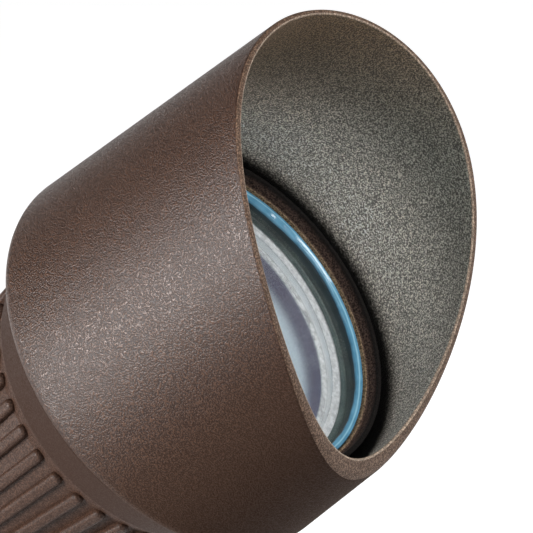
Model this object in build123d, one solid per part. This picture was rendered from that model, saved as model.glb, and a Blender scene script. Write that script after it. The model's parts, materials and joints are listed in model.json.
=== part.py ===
from build123d import *
import os
from math import cos, radians, sin, tan

# Outdoor accent light: a ribbed head with a scooped glare cowl, on a tilting knuckle with a threaded stem.
# Millimetres, +Z up. The origin is on the stem's axis, where the thread meets its shoulder.
# Head pieces are drawn with the lamp's axis along Z, z = 0 at the cowl's back edge and x on the long side.

# Aim of the head at rest, degrees above level
HEAD_TILT = 42.7

# Clearances
SEAL_FIT = 0.1           # soft seal in its bore
THREAD_FIT = 0.05        # screw thread in its nut or tapped bore, on the radius
RUNNING_FIT = 0.08       # knuckle screw in the turning eye, on the radius
SCREW_CLEAR = 0.3        # fastener in a plain hole, on the radius
COWL_SEAT_GAP = 0.3      # cowl's back edge to the collar
SWING_GAP = 1.5          # round the knuckle's turning parts
SLIDE_GAP = 0.1          # knuckle's friction washers to the turning eye

# Reflector lamp with two pins
LAMP_RADIUS = 24.75
LAMP_RIM = 2.4           # straight edge of the rim
LAMP_LIP = 1.9           # rim outside the cover glass
LAMP_LEDGE = 0.9         # ledge that carries the cover glass
LAMP_COVER = 1.5         # thickness of the cover glass
LAMP_GLASS = 1.7         # wall of the reflector
LAMP_BOWL_RADIUS = 19.35 # outside of the bowl, half way from the rim to the neck
LAMP_NECK_RADIUS = 7.0
LAMP_NECK_DEPTH = 25.0   # rim to the end of the reflector's neck
LAMP_NECK_LENGTH = 3.0
LAMP_BASE_LENGTH = 12.0
LAMP_BASE_WIDTH = 14.0
LAMP_BASE_DEPTH = 9.0
LAMP_BASE_ROUND = 2.5
BURNER_RADIUS = 4.4
BURNER_STEM_RADIUS = 3.0
BURNER_TIP_DEPTH = 6.5   # rim to the tip of the burner
PIN_RADIUS = 0.78
PIN_PITCH = 5.33
PIN_LENGTH = 7.0

# Lens and its silicone boot
LENS_OVERLAP = 0.55      # lens past the lamp's rim
LENS_THICK = 2.6
LENS_EDGE_ROUND = 0.4
LENS_RECESS = 3.1        # mouth to the front of the lens
LENS_TO_LAMP = 0.2
BOOT_WALL = 1.0
BOOT_FRONT = 0.8         # thickness of the boot's front lip
BOOT_BACK = 0.8          # thickness of the boot's back lip
BOOT_COVER = 0.3         # front lip over the lens
BOOT_SLOPE = 0.5         # fall of the front lip towards the lens

# Housing
MOUTH_LENGTH = 18.3      # cowl's back edge to the mouth's rim
MOUTH_WALL = 1.5         # mouth's wall round the boot
MOUTH_LAND = 0.7         # flat rim of the mouth
MOUTH_ROUND = 0.25
MOUTH_LEDGE = 0.6        # step inside the mouth, in front of the boot
LEDGE_START = 0.2        # boot's front to the step
SEAT_CLEAR = 0.5         # lamp's rim to the bore behind the seat
COLLAR_LENGTH = 12.0     # cowl's back edge to the foot of the flared collar
COLLAR_LAND = 0.6        # straight edge of the collar
COLLAR_UNDERCUT = 2.7    # collar's edge inside the cowl's outer wall
CORE_RADIUS = 23.6       # foot of the collar, between the ribs
CORE_TAPER = 8.5         # degrees, narrowing towards the back
BODY_LENGTH = 58.0       # cowl's back edge to the housing's back
BODY_WALL = 2.6
BACK_WALL = 9.0
BACK_ROUND = 3.0
RIB_COUNT = 34
RIB_WIDTH = 2.1
RIB_HEIGHT = 1.4
RIB_ROUND = 0.75
RIB_SINK = 0.6           # root of the rib inside the core
RIB_FRONT = 10.6         # cowl's back edge to the ribs' front ends
RIB_BACK_MARGIN = 5.0    # ribs' back ends to the housing's back

# Cowl and the rings that hold it
COWL_GAP = 1.8           # mouth's neck to the cowl's bore
COWL_WALL = 3.3          # at the back edge
COWL_TAPER = 1.9         # degrees, outside, narrowing forwards
COWL_DRAFT = 0.5         # degrees, inside, widening forwards
COWL_LONG = 55.9         # back edge to the lip on the long side
COWL_SIDE = 48.1         # back edge to the lip half way round
COWL_SHORT = 24.0        # back edge to the lip on the short side
COWL_BACK_ROUND = 2.6
COWL_BORE_ROUND = 0.4
COWL_LIP_ROUND = 0.5
RING_SECTION = 2.4       # thickness of an O-ring
RING_STATIONS = (3.2, 9.2)
RING_PINCH_GAP = 0.15    # O-ring to the cowl's bore

# Lamp socket and its bracket
SOCKET_GAP = 0.4         # lamp's base to the socket
SOCKET_LENGTH = 13.0
SOCKET_WIDTH = 19.0
SOCKET_DEPTH = 11.0
SOCKET_ROUND = 1.5
SOCKET_SCREW_PITCH = 14.0
CONTACT_RADIUS = 1.4
CONTACT_LENGTH = 9.0
CONTACT_RECESS = 0.5
BRACKET_THICK = 1.2
BRACKET_TAB = 2.8        # strap past its screws
BRACKET_WIDTH = 10.0
BRACKET_ROUND = 2.0
BRACKET_WINDOW = 4.4     # radius of the wire window
BOSS_RADIUS = 2.8
BOSS_SINK = 1.5          # root of the boss inside the back wall
SCREW_RADIUS = 1.25      # small machine screws
SCREW_HEAD_RADIUS = 1.9
SCREW_HEAD_HEIGHT = 1.3
BRACKET_SCREW_GRIP = 6.0
LEAD_RADIUS = 0.95
LEAD_PITCH = 2.9         # between the leads in the grommet
LEAD_DROP = 0.6          # straight run above the grommet
LEAD_JOG = 2.4           # length of the sideways run
LEAD_BEND = 1.6
GROMMET_HEAD = 1.6
GROMMET_HEAD_RADIUS = 5.6
GROMMET_LENGTH = 6.0
GROMMET_SKIN = 1.0       # grommet past the ends of the leads

# Knuckle
SPIGOT_RADIUS = 8.0
SPIGOT_PROUD = 0.6       # spigot past the inside of the back wall
WIRE_BORE_RADIUS = 3.8   # through the upper knuckle
FLANGE_RADIUS = 13.5
FLANGE_THICK = 3.0
FLANGE_ROUND = 0.8
KNUCKLE_SEAL_THICK = 1.2
KNUCKLE_SEAL_EDGE = 0.6  # seal inside the flange's rim
EYE_RADIUS = 11.0
EYE_WIDTH = 12.0
EYE_ROUND = 0.8
WIRE_SLOT = 5.0
WIRE_SLOT_WEB = 2.0      # solid left between the slot and the flange
PIVOT_HEIGHT = 26.0      # stem's shoulder to the pivot
EAR_RADIUS = 11.0
EAR_THICK = 5.6
EAR_ROUND = 1.5
PIVOT_WASHER_THICK = 1.0
PIVOT_WASHER_RADIUS = 8.5
SHOULDER_RADIUS = 15.0
SHOULDER_HEIGHT = 5.0
SHOULDER_ROUND = 1.0
STEM_RADIUS = 10.475
STEM_LENGTH = 16.0
STEM_CHAMFER = 1.0
STEM_BORE = 5.5
KNUCKLE_CORNER = 4.0

# Knuckle screw with a fluted knob
CLAMP_RADIUS = 3.0
NUT_FLATS = 10.0
NUT_THICK = 3.2
CLAMP_WASHER_RADIUS = 7.0
CLAMP_WASHER_THICK = 1.2
KNOB_RADIUS = 9.0
KNOB_THICK = 8.0
KNOB_ROUND = 1.0
KNOB_FLUTES = 20
FLUTE_RADIUS = 0.9

# Radii that follow from the lamp outwards
LENS_RADIUS = LAMP_RADIUS + LENS_OVERLAP
BOOT_RADIUS = LENS_RADIUS + BOOT_WALL
LENS_BORE = BOOT_RADIUS + SEAL_FIT
NECK_RADIUS = LENS_BORE + MOUTH_WALL
SEAT_BORE = LAMP_RADIUS + SEAT_CLEAR
COWL_BORE = NECK_RADIUS + COWL_GAP
COWL_RADIUS = COWL_BORE + COWL_WALL
COLLAR_RADIUS = COWL_RADIUS - COLLAR_UNDERCUT

# Bracket sizes that follow from the socket
BRACKET_SCREW_PITCH = SOCKET_WIDTH + 2 * (SCREW_HEAD_RADIUS + SCREW_CLEAR)
BRACKET_LENGTH = BRACKET_SCREW_PITCH + 2 * BRACKET_TAB

# Stations along the head's axis
LENS_FRONT_Z = MOUTH_LENGTH - LENS_RECESS
LENS_BACK_Z = LENS_FRONT_Z - LENS_THICK
BOOT_FRONT_Z = LENS_FRONT_Z + BOOT_FRONT
SEAT_Z = LENS_BACK_Z - BOOT_BACK
LAMP_Z = LENS_BACK_Z - LENS_TO_LAMP
NECK_END_Z = LAMP_Z - LAMP_NECK_DEPTH
LAMP_END_Z = NECK_END_Z - LAMP_BASE_LENGTH
SOCKET_Z = LAMP_END_Z - SOCKET_GAP
SOCKET_END_Z = SOCKET_Z - SOCKET_LENGTH
SOCKET_SCREW_Z = SOCKET_Z - SCREW_HEAD_HEIGHT - SCREW_CLEAR
BRACKET_END_Z = SOCKET_END_Z - BRACKET_THICK
BRACKET_SCREW_END_Z = BRACKET_END_Z - BRACKET_SCREW_GRIP
BACK_Z = -BODY_LENGTH
FLOOR_Z = BACK_Z + BACK_WALL
SPIGOT_END_Z = FLOOR_Z + SPIGOT_PROUD
FLANGE_Z = BACK_Z - KNUCKLE_SEAL_THICK
EYE_ROOT_Z = FLANGE_Z - FLANGE_THICK
PIVOT_Z = EYE_ROOT_Z - EAR_RADIUS - SWING_GAP

# Knuckle widths from the middle outwards
EAR_INNER = EYE_WIDTH / 2 + SLIDE_GAP + PIVOT_WASHER_THICK
EAR_OUTER = EAR_INNER + EAR_THICK
SLOT_FLOOR = PIVOT_HEIGHT - EYE_RADIUS - SWING_GAP

AIM = radians(HEAD_TILT)
FORWARD = Vector(cos(AIM), 0, sin(AIM))
LONG_SIDE = Vector(-sin(AIM), 0, cos(AIM))
HEAD = Plane(origin=Vector(0, 0, PIVOT_HEIGHT) - FORWARD * PIVOT_Z, x_dir=LONG_SIDE, z_dir=FORWARD)

# Blocks and cylinders stand on their base
UPRIGHT = (Align.CENTER, Align.CENTER, Align.MIN)


def turned(outline):
    """Solid of revolution about Z from lines and arcs drawn as (radius, height)."""
    return revolve(Plane.XZ * make_face(outline), Axis.Z)


def ring(inner, outer, low, high):
    """Plain ring about Z between two heights."""
    return turned(Polyline((inner, low), (outer, low), (outer, high), (inner, high), close=True))


def rod(radius, low, high):
    """Round bar about Z between two heights."""
    return Pos(0, 0, low) * Cylinder(radius, high - low, align=UPRIGHT)


def cross_rod(radius, start, end):
    """Round bar along Y between two distances, at the origin's height."""
    return Rot(-90, 0, 0) * rod(radius, start, end)


def pair(shape, pitch):
    """Two copies of a shape, side by side along Y."""
    return [Pos(0, side * pitch / 2, 0) * shape for side in (1, -1)]


def core_radius(z):
    """Outside of the housing between the ribs, behind the collar."""
    return CORE_RADIUS + (z + COLLAR_LENGTH) * tan(radians(CORE_TAPER))


def cowl_bore(z):
    """Inside of the cowl, which widens forwards."""
    return COWL_BORE + z * tan(radians(COWL_DRAFT))


def make_cowl():
    """Glare cowl: a drafted tube with its front cut to a long upper lip along one arc."""
    top = COWL_LONG + COWL_WALL
    tip = COWL_RADIUS - top * tan(radians(COWL_TAPER))
    outline = Polyline((COWL_BORE, 0), (COWL_RADIUS, 0), (tip, top), (cowl_bore(top), top), close=True)
    tube = turned(outline)
    back_edges = tube.edges().filter_by(GeomType.CIRCLE).group_by(Axis.Z)[0].sort_by(SortBy.RADIUS)
    tube = fillet(back_edges[-1:], COWL_BACK_ROUND)
    back_edges = tube.edges().filter_by(GeomType.CIRCLE).group_by(Axis.Z)[0].sort_by(SortBy.RADIUS)
    tube = fillet(back_edges[:1], COWL_BORE_ROUND)
    reach = cowl_bore(COWL_LONG)
    lip = ThreePointArc((-reach, COWL_SHORT), (0, COWL_SIDE), (reach, COWL_LONG))
    run_out = 2 * COWL_WALL
    low = lip @ 0 - (lip % 0) * run_out
    high = lip @ 1 + (lip % 1) * run_out
    ceiling = top + COWL_WALL
    rest = Polyline(lip @ 1, high, (high.X, ceiling), (low.X, ceiling), low, lip @ 0)
    scoop = extrude(Plane.XZ * make_face(lip + rest), amount=COWL_RADIUS + COWL_WALL, both=True)
    cowl = tube - scoop
    lip_face = cowl.faces().sort_by(Axis.Z)[-1]
    outer_lip = lip_face.edges().sort_by(SortBy.LENGTH)[-1:]
    return fillet(outer_lip, COWL_LIP_ROUND)


def make_rib():
    """One housing rib, a long bar with round ends that lies on the tapered core."""
    front = Vector(core_radius(-RIB_FRONT), 0, -RIB_FRONT)
    end_z = BACK_Z + RIB_BACK_MARGIN
    back = Vector(core_radius(end_z), 0, end_z)
    along = (front - back).normalized()
    outward = Vector(along.Z, 0, -along.X)
    base = Plane(origin=(front + back) * 0.5 - outward * RIB_SINK, x_dir=along, z_dir=outward)
    bar = extrude(SlotOverall((front - back).length, RIB_WIDTH), amount=RIB_SINK + RIB_HEIGHT)
    bar = fillet(bar.edges().group_by(Axis.Z)[-1], RIB_ROUND)
    return base.location * bar


def make_housing():
    """Ribbed lamp housing: stepped mouth, neck with ring grooves, flared collar, tapered core."""
    ledge_z = BOOT_FRONT_Z + LEDGE_START
    flare = (COLLAR_LENGTH - COWL_SEAT_GAP - COLLAR_LAND) / (COLLAR_RADIUS - CORE_RADIUS)
    cavity_radius = CORE_RADIUS - BODY_WALL
    cavity_z = -COLLAR_LENGTH
    outline = Polyline(
        (LENS_BORE, SEAT_Z),
        (LENS_BORE, ledge_z),
        (LENS_BORE + MOUTH_LEDGE, ledge_z),
        (NECK_RADIUS - MOUTH_LAND, MOUTH_LENGTH),
        (NECK_RADIUS, MOUTH_LENGTH),
        (NECK_RADIUS, -COWL_SEAT_GAP),
        (COLLAR_RADIUS, -COWL_SEAT_GAP),
        (COLLAR_RADIUS, -COWL_SEAT_GAP - COLLAR_LAND),
        (CORE_RADIUS, -COLLAR_LENGTH),
        (core_radius(BACK_Z), BACK_Z),
        (SPIGOT_RADIUS + THREAD_FIT, BACK_Z),
        (SPIGOT_RADIUS + THREAD_FIT, FLOOR_Z),
        (core_radius(FLOOR_Z) - BODY_WALL, FLOOR_Z),
        (cavity_radius, cavity_z),
        (SEAT_BORE, cavity_z + (SEAT_BORE - cavity_radius) * flare),
        (SEAT_BORE, SEAT_Z),
        close=True,
    )
    body = turned(outline)
    rounds = body.edges().filter_by(GeomType.CIRCLE)
    body = fillet(rounds.group_by(Axis.Z)[-1], MOUTH_ROUND)
    back_edges = body.edges().filter_by(GeomType.CIRCLE).group_by(Axis.Z)[0].sort_by(SortBy.RADIUS)
    body = fillet(back_edges[-1:], BACK_ROUND)
    for station in RING_STATIONS:
        floor = ring_centre(station) - RING_SECTION / 2 - THREAD_FIT
        half = RING_SECTION / 2 + SEAL_FIT
        body -= ring(floor, NECK_RADIUS + COWL_GAP, station - half, station + half)
    rib = make_rib()
    pitch = 360 / RIB_COUNT
    body += [Rot(0, 0, (index + 0.5) * pitch) * rib for index in range(RIB_COUNT)]
    body += pair(rod(BOSS_RADIUS, FLOOR_Z - BOSS_SINK, BRACKET_END_Z), BRACKET_SCREW_PITCH)
    hole_end = BRACKET_SCREW_END_Z - SCREW_CLEAR
    body -= pair(rod(SCREW_RADIUS + THREAD_FIT, hole_end, BRACKET_END_Z), BRACKET_SCREW_PITCH)
    return body


def ring_centre(station):
    """Radius of an O-ring's centre line, so that it nearly meets the cowl's bore."""
    return cowl_bore(station) - RING_PINCH_GAP - RING_SECTION / 2


def make_cowl_rings():
    """Two O-rings on the neck, which hold the cowl and let it turn."""
    return [Pos(0, 0, z) * Torus(ring_centre(z), RING_SECTION / 2) for z in RING_STATIONS]


def make_lens():
    """Flat tempered lens with eased edges."""
    disc = rod(LENS_RADIUS, LENS_BACK_Z, LENS_FRONT_Z)
    return fillet(disc.edges().filter_by(GeomType.CIRCLE), LENS_EDGE_ROUND)


def make_boot():
    """Silicone boot with a channel that wraps the lens's edge."""
    lip_radius = LENS_RADIUS - BOOT_COVER
    back_lip = LAMP_RADIUS + LENS_TO_LAMP
    crest = BOOT_RADIUS - BOOT_WALL / 2
    lip_top = BOOT_FRONT_Z - BOOT_SLOPE
    shoulder_z = BOOT_FRONT_Z - BOOT_WALL / 2
    body = Polyline(
        (lip_radius, lip_top), (lip_radius, LENS_FRONT_Z), (LENS_RADIUS, LENS_FRONT_Z),
        (LENS_RADIUS, LENS_BACK_Z), (back_lip, LENS_BACK_Z), (back_lip, SEAT_Z),
        (BOOT_RADIUS, SEAT_Z), (BOOT_RADIUS, shoulder_z),
    )
    crown = TangentArc((BOOT_RADIUS, shoulder_z), (crest, BOOT_FRONT_Z), tangent=(0, 1))
    slope = Line((crest, BOOT_FRONT_Z), (lip_radius, lip_top))
    return turned(body + crown + slope)


def make_reflector():
    """Glass reflector of the lamp, with a rim, a ledge for the cover glass and a neck."""
    ledge = LAMP_RADIUS - LAMP_LIP
    mouth = ledge - LAMP_LEDGE
    rim_z = LAMP_Z - LAMP_RIM
    cover_z = LAMP_Z - LAMP_COVER
    neck_z = NECK_END_Z + LAMP_NECK_LENGTH
    bore = LAMP_NECK_RADIUS - LAMP_GLASS
    outer_mid = Vector(LAMP_BOWL_RADIUS, (rim_z + neck_z) / 2)
    inward = Vector(neck_z - rim_z, LAMP_RADIUS - LAMP_NECK_RADIUS).normalized()
    inner_mid = outer_mid + inward * LAMP_GLASS
    edge = Line((LAMP_RADIUS, LAMP_Z), (LAMP_RADIUS, rim_z))
    bowl = ThreePointArc((LAMP_RADIUS, rim_z), outer_mid, (LAMP_NECK_RADIUS, neck_z))
    neck = Polyline(
        (LAMP_NECK_RADIUS, neck_z), (LAMP_NECK_RADIUS, NECK_END_Z), (bore, NECK_END_Z), (bore, neck_z)
    )
    mirror_side = ThreePointArc((bore, neck_z), inner_mid, (mouth, cover_z))
    rim = Polyline((mouth, cover_z), (ledge, cover_z), (ledge, LAMP_Z), (LAMP_RADIUS, LAMP_Z))
    return turned(edge + bowl + neck + mirror_side + rim)


def make_lamp_cover():
    """Cover glass in the lamp's rim."""
    return rod(LAMP_RADIUS - LAMP_LIP - SEAL_FIT, LAMP_Z - LAMP_COVER, LAMP_Z)


def make_burner():
    """Burner capsule with a round tip and a pinched stem."""
    tip = LAMP_Z - BURNER_TIP_DEPTH
    shoulder = tip - BURNER_RADIUS
    waist = NECK_END_Z + LAMP_NECK_LENGTH + BURNER_RADIUS
    bulb = TangentArc((BURNER_RADIUS, shoulder), (0, tip), tangent=(0, 1))
    rest = Polyline(
        (0, tip), (0, NECK_END_Z), (BURNER_STEM_RADIUS, NECK_END_Z),
        (BURNER_STEM_RADIUS, waist - BURNER_STEM_RADIUS), (BURNER_RADIUS, waist), (BURNER_RADIUS, shoulder),
    )
    return turned(bulb + rest)


def make_lamp_base():
    """Ceramic base cemented to the reflector's neck."""
    block = extrude(
        RectangleRounded(LAMP_BASE_DEPTH, LAMP_BASE_WIDTH, LAMP_BASE_ROUND), amount=LAMP_BASE_LENGTH
    )
    return Pos(0, 0, LAMP_END_Z) * block


def make_lamp_pins():
    """Two contact pins below the lamp's base."""
    return pair(rod(PIN_RADIUS, LAMP_END_Z - PIN_LENGTH, LAMP_END_Z), PIN_PITCH)


def make_socket():
    """Ceramic socket block, bored for its contacts and its screws."""
    block = extrude(RectangleRounded(SOCKET_DEPTH, SOCKET_WIDTH, SOCKET_ROUND), amount=SOCKET_LENGTH)
    block = Pos(0, 0, SOCKET_END_Z) * block
    block -= pair(rod(CONTACT_RADIUS + THREAD_FIT, SOCKET_END_Z, SOCKET_Z), PIN_PITCH)
    block -= pair(rod(SCREW_RADIUS + SCREW_CLEAR, SOCKET_END_Z, SOCKET_Z), SOCKET_SCREW_PITCH)
    return block - pair(rod(SCREW_HEAD_RADIUS + SCREW_CLEAR, SOCKET_SCREW_Z, SOCKET_Z), SOCKET_SCREW_PITCH)


def make_contacts():
    """Brass contact sleeves round the lamp's pins."""
    front = SOCKET_Z - CONTACT_RECESS
    return pair(ring(PIN_RADIUS + RUNNING_FIT, CONTACT_RADIUS, front - CONTACT_LENGTH, front), PIN_PITCH)


def make_bracket():
    """Steel strap that carries the socket on the housing's bosses, with a window for the leads."""
    plate = extrude(RectangleRounded(BRACKET_WIDTH, BRACKET_LENGTH, BRACKET_ROUND), amount=BRACKET_THICK)
    plate = Pos(0, 0, BRACKET_END_Z) * plate
    plate -= rod(BRACKET_WINDOW, BRACKET_END_Z, SOCKET_END_Z)
    plate -= pair(rod(SCREW_RADIUS + THREAD_FIT, BRACKET_END_Z, SOCKET_END_Z), SOCKET_SCREW_PITCH)
    return plate - pair(rod(SCREW_RADIUS + SCREW_CLEAR, BRACKET_END_Z, SOCKET_END_Z), BRACKET_SCREW_PITCH)


def make_screws(seat_z, end_z, pitch):
    """A pair of pan-head machine screws, heads on a seat and shanks down to an end."""
    head = rod(SCREW_HEAD_RADIUS, seat_z, seat_z + SCREW_HEAD_HEIGHT)
    head = fillet(head.edges().group_by(Axis.Z)[-1], SCREW_HEAD_HEIGHT / 2)
    return pair(head + rod(SCREW_RADIUS, end_z, seat_z), pitch)


def make_leads():
    """Two insulated leads from the contacts, through the bracket's window, into the grommet."""
    start = SOCKET_Z - CONTACT_RECESS - CONTACT_LENGTH
    jog_end = SPIGOT_END_Z + GROMMET_HEAD + LEAD_DROP
    end = SPIGOT_END_Z - GROMMET_LENGTH + GROMMET_SKIN
    leads = []
    for side in (1, -1):
        wide = side * PIN_PITCH / 2
        close = side * LEAD_PITCH / 2
        path = FilletPolyline(
            (0, wide, start), (0, wide, jog_end + LEAD_JOG), (0, close, jog_end), (0, close, end),
            radius=LEAD_BEND,
        )
        leads.append(sweep(Pos(0, wide, start) * Circle(LEAD_RADIUS), path=path))
    return leads


def make_grommet():
    """Rubber grommet that seals the leads in the upper knuckle's bore."""
    end = SPIGOT_END_Z - GROMMET_LENGTH
    plug = rod(WIRE_BORE_RADIUS - THREAD_FIT, end, SPIGOT_END_Z)
    plug += rod(GROMMET_HEAD_RADIUS, SPIGOT_END_Z, SPIGOT_END_Z + GROMMET_HEAD)
    holes = pair(rod(LEAD_RADIUS + THREAD_FIT, end + GROMMET_SKIN, SPIGOT_END_Z + GROMMET_HEAD), LEAD_PITCH)
    return plug - holes


def make_knuckle_seal():
    """Flat seal between the upper knuckle's flange and the housing."""
    return ring(SPIGOT_RADIUS + SCREW_CLEAR, FLANGE_RADIUS - KNUCKLE_SEAL_EDGE, FLANGE_Z, BACK_Z)


def make_upper_knuckle():
    """Upper knuckle: a hollow spigot and flange with a slotted eye, which lets the leads pass the pivot."""
    flange = rod(FLANGE_RADIUS, EYE_ROOT_Z, FLANGE_Z)
    flange = fillet(flange.edges().filter_by(GeomType.CIRCLE), FLANGE_ROUND)
    eye_outline = Rectangle(2 * EYE_RADIUS, EYE_ROOT_Z - PIVOT_Z, align=(Align.CENTER, Align.MIN))
    eye = extrude(Plane.XZ * (eye_outline + Circle(EYE_RADIUS)), amount=EYE_WIDTH / 2, both=True)
    eye = fillet(eye.edges().filter_by(GeomType.CIRCLE), EYE_ROUND)
    knuckle = Pos(0, 0, PIVOT_Z) * eye + flange + rod(SPIGOT_RADIUS, FLANGE_Z, SPIGOT_END_Z)
    knuckle -= rod(WIRE_BORE_RADIUS, EYE_ROOT_Z - WIRE_SLOT_WEB, SPIGOT_END_Z)
    slot_low = PIVOT_Z - EYE_RADIUS - SWING_GAP
    slot_length = EYE_ROOT_Z - WIRE_SLOT_WEB - slot_low
    knuckle -= Pos(0, 0, slot_low) * Box(4 * EYE_RADIUS, WIRE_SLOT, slot_length, align=UPRIGHT)
    return knuckle - Pos(0, 0, PIVOT_Z) * cross_rod(CLAMP_RADIUS + RUNNING_FIT, -EYE_WIDTH, EYE_WIDTH)


def make_lower_knuckle():
    """Lower knuckle: two ears over a shoulder and a hollow threaded stem."""
    ear_side = Rectangle(2 * EAR_RADIUS, PIVOT_HEIGHT - SLOT_FLOOR, align=(Align.CENTER, Align.MAX))
    ears = extrude(Plane.XZ * (ear_side + Circle(EAR_RADIUS)), amount=EAR_OUTER, both=True)
    ears = fillet(ears.edges().filter_by(GeomType.CIRCLE), EAR_ROUND)
    shoulder = rod(SHOULDER_RADIUS, 0, SHOULDER_HEIGHT)
    shoulder = fillet(shoulder.edges().group_by(Axis.Z)[0], SHOULDER_ROUND)
    foot = loft([
        Pos(0, 0, SHOULDER_HEIGHT) * Circle(SHOULDER_RADIUS),
        Pos(0, 0, SLOT_FLOOR) * RectangleRounded(2 * EAR_RADIUS, 2 * EAR_OUTER, KNUCKLE_CORNER),
    ])
    stem = rod(STEM_RADIUS, -STEM_LENGTH, 0)
    stem = chamfer(stem.edges().group_by(Axis.Z)[0], STEM_CHAMFER)
    knuckle = Pos(0, 0, PIVOT_HEIGHT) * ears + foot + shoulder + stem
    slot_height = EYE_RADIUS + SWING_GAP + 2 * EAR_RADIUS
    knuckle -= Pos(0, 0, SLOT_FLOOR) * Box(4 * EAR_RADIUS, 2 * EAR_INNER, slot_height, align=UPRIGHT)
    knuckle -= rod(STEM_BORE, -STEM_LENGTH, SLOT_FLOOR)
    knuckle -= at_pivot(cross_rod(CLAMP_RADIUS + SCREW_CLEAR, -EAR_OUTER, EAR_OUTER))
    return knuckle - at_pivot(nut_blank(NUT_FLATS + 2 * THREAD_FIT))


def at_pivot(shape):
    """Carry a shape drawn about the origin to the knuckle's pivot."""
    return Pos(0, 0, PIVOT_HEIGHT) * shape


def nut_blank(flats):
    """Hexagon in the far ear's pocket, across Y."""
    hexagon = extrude(RegularPolygon(flats / 2, 6, major_radius=False), amount=NUT_THICK)
    return Rot(-90, 0, 0) * (Pos(0, 0, EAR_OUTER - NUT_THICK) * hexagon)


def make_pivot_nut():
    """Hexagon nut held in a pocket of the far ear."""
    return at_pivot(nut_blank(NUT_FLATS) - cross_rod(CLAMP_RADIUS + THREAD_FIT, 0, EAR_OUTER))


def make_pivot_washers():
    """Friction washers between the ears and the turning eye."""
    inner = CLAMP_RADIUS + SCREW_CLEAR
    disc = ring(inner, PIVOT_WASHER_RADIUS, EAR_INNER - PIVOT_WASHER_THICK, EAR_INNER)
    return [at_pivot(Rot(turn, 0, 0) * disc) for turn in (90, -90)]


def make_clamp_washer():
    """Plain washer under the knob."""
    inner = CLAMP_RADIUS + SCREW_CLEAR
    disc = ring(inner, CLAMP_WASHER_RADIUS, EAR_OUTER, EAR_OUTER + CLAMP_WASHER_THICK)
    return at_pivot(Rot(90, 0, 0) * disc)


def make_thumbscrew():
    """Knuckle screw with a fluted knob, from the near ear to the nut in the far one."""
    seat = EAR_OUTER + CLAMP_WASHER_THICK
    knob = rod(KNOB_RADIUS, seat, seat + KNOB_THICK)
    knob = fillet(knob.edges().group_by(Axis.Z)[-1], KNOB_ROUND)
    flute = Pos(KNOB_RADIUS, 0, 0) * rod(FLUTE_RADIUS, seat, seat + KNOB_THICK)
    knob -= [Rot(0, 0, index * 360 / KNOB_FLUTES) * flute for index in range(KNOB_FLUTES)]
    screw = knob + rod(CLAMP_RADIUS, -EAR_OUTER, seat)
    return at_pivot(Rot(90, 0, 0) * screw)


def write(name, shape, place=None):
    """Write one node, a solid or a group of separate solids, to its STEP file."""
    solids = shape if isinstance(shape, list) else [shape]
    if place:
        solids = [place.location * solid for solid in solids]
    node = solids[0] if len(solids) == 1 else Compound(children=solids)
    export_step(node, f"parts/{name}.step")


os.makedirs("parts", exist_ok=True)

write("cowl", make_cowl(), HEAD)
write("housing", make_housing(), HEAD)
write("cowl_o_rings", make_cowl_rings(), HEAD)
write("lens", make_lens(), HEAD)
write("lens_boot", make_boot(), HEAD)
write("lamp_reflector", make_reflector(), HEAD)
write("lamp_cover_glass", make_lamp_cover(), HEAD)
write("lamp_burner", make_burner(), HEAD)
write("lamp_base", make_lamp_base(), HEAD)
write("lamp_pins", make_lamp_pins(), HEAD)
write("lamp_socket", make_socket(), HEAD)
write("socket_contacts", make_contacts(), HEAD)
write("socket_bracket", make_bracket(), HEAD)
write("socket_screws", make_screws(SOCKET_SCREW_Z, BRACKET_END_Z, SOCKET_SCREW_PITCH), HEAD)
write("bracket_screws", make_screws(SOCKET_END_Z, BRACKET_SCREW_END_Z, BRACKET_SCREW_PITCH), HEAD)
write("socket_leads", make_leads(), HEAD)
write("wire_grommet", make_grommet(), HEAD)
write("knuckle_seal", make_knuckle_seal(), HEAD)
write("upper_knuckle", make_upper_knuckle(), HEAD)
write("lower_knuckle", make_lower_knuckle())
write("pivot_nut", make_pivot_nut())
write("pivot_washers", make_pivot_washers())
write("clamp_washer", make_clamp_washer())
write("thumbscrew", make_thumbscrew())
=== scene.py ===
import bpy
import json
from collections import namedtuple
from math import cos, hypot, pi, radians, sin, sqrt, tan
from mathutils import Matrix, Vector


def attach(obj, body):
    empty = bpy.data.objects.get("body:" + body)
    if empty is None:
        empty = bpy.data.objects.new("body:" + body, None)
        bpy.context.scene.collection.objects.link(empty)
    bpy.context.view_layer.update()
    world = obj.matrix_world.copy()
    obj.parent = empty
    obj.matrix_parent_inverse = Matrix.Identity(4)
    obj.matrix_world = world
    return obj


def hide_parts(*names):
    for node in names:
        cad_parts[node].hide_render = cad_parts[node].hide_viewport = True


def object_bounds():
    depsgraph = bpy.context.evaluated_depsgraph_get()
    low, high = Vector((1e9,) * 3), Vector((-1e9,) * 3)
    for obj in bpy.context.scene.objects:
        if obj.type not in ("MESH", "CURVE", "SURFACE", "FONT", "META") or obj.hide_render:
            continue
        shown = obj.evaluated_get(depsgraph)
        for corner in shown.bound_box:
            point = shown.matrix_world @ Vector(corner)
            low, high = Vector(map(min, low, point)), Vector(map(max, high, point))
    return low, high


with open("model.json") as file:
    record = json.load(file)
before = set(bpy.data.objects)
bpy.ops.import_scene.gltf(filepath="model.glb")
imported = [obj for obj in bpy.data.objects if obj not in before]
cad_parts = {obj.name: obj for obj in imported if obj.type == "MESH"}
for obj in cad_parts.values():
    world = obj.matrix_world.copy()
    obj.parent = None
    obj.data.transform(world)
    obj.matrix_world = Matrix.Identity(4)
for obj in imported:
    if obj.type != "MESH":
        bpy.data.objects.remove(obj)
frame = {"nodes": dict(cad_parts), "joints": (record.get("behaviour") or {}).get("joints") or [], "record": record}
cad_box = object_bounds()
nodes = frame["nodes"]
joints = {joint["name"]: joint for joint in frame["joints"]}

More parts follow.
